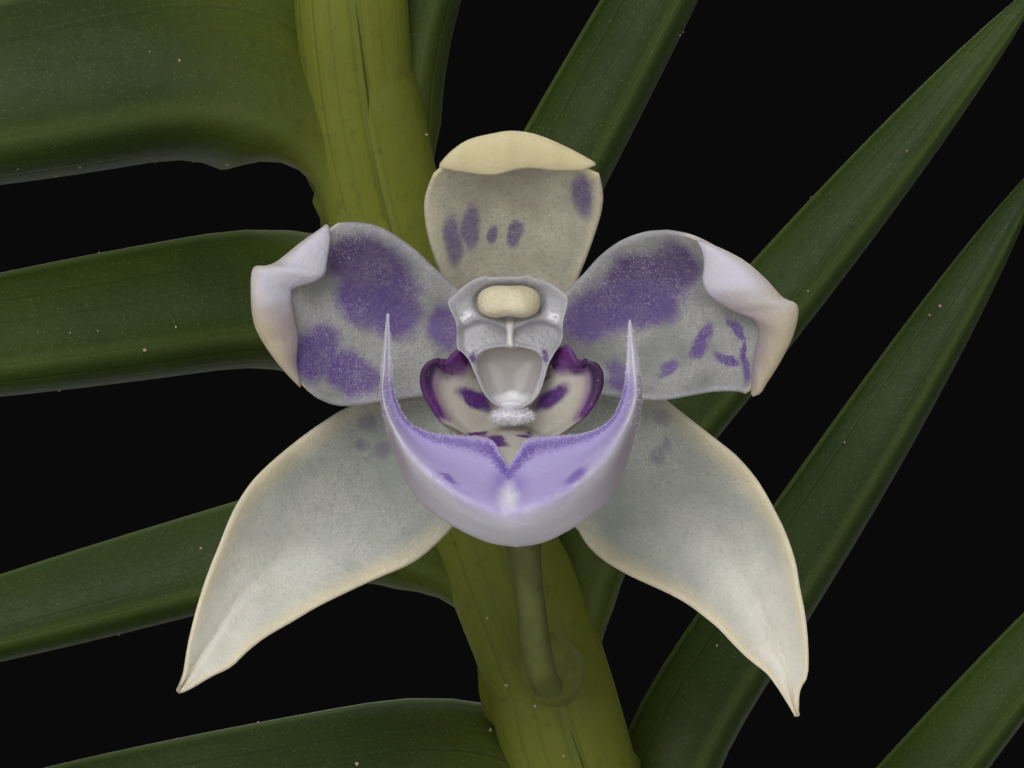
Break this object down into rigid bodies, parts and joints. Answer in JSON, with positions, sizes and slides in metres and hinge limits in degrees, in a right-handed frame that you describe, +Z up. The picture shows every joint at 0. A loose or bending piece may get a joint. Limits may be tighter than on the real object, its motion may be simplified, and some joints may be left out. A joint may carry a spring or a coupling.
{
  "type": "potted dichaea andina orchid",
  "caption": "Small orchid in a plain clay pot of bark: stems with leaves ranked on both sides and open flowers with anchor-shaped lavender lips.",
  "frame": {"origin": "centre of the underside of the pot, on the surface that it stands on", "axes": "+Z up through the pot and the plant; the first bloom faces -Y, with +X to its viewer's right"},
  "size_m": [0.1404, 0.1299, 0.2096],
  "materials": {
    "clay": "matt fired clay",
    "bark": "rough bark chips",
    "leaf": "satin leaf",
    "sepal": "waxy sepal",
    "petal": "waxy petal",
    "lip": "waxy lip",
    "column": "glistening",
    "anther": "matt grains",
    "pedicel": "satin stalk"
  },
  "bodies": {
    "root": {"pot": "clay", "bark_mix": "bark", "stem_front": "leaf", "stem_right": "leaf", "stem_back": "leaf", "stem_left": "leaf", "stem_front_left": "leaf", "stem_front_right": "leaf", "shoot_right": "leaf", "shoot_back": "leaf", "bloom_a_dorsal_sepal": "sepal", "bloom_a_left_sepal": "sepal", "bloom_a_right_sepal": "sepal", "bloom_a_left_petal": "petal", "bloom_a_right_petal": "petal", "bloom_a_lip": "lip", "bloom_a_column": "column", "bloom_a_anther_cap": "anther", "bloom_a_pedicel": "pedicel", "bloom_b_dorsal_sepal": "sepal", "bloom_b_left_sepal": "sepal", "bloom_b_right_sepal": "sepal", "bloom_b_left_petal": "petal", "bloom_b_right_petal": "petal", "bloom_b_lip": "lip", "bloom_b_column": "column", "bloom_b_anther_cap": "anther", "bloom_b_pedicel": "pedicel", "bloom_c_dorsal_sepal": "sepal", "bloom_c_left_sepal": "sepal", "bloom_c_right_sepal": "sepal", "bloom_c_left_petal": "petal", "bloom_c_right_petal": "petal", "bloom_c_lip": "lip", "bloom_c_column": "column", "bloom_c_anther_cap": "anther", "bloom_c_pedicel": "pedicel", "bud_a": "sepal", "bud_b": "sepal"}
  },
  "joints": []
}
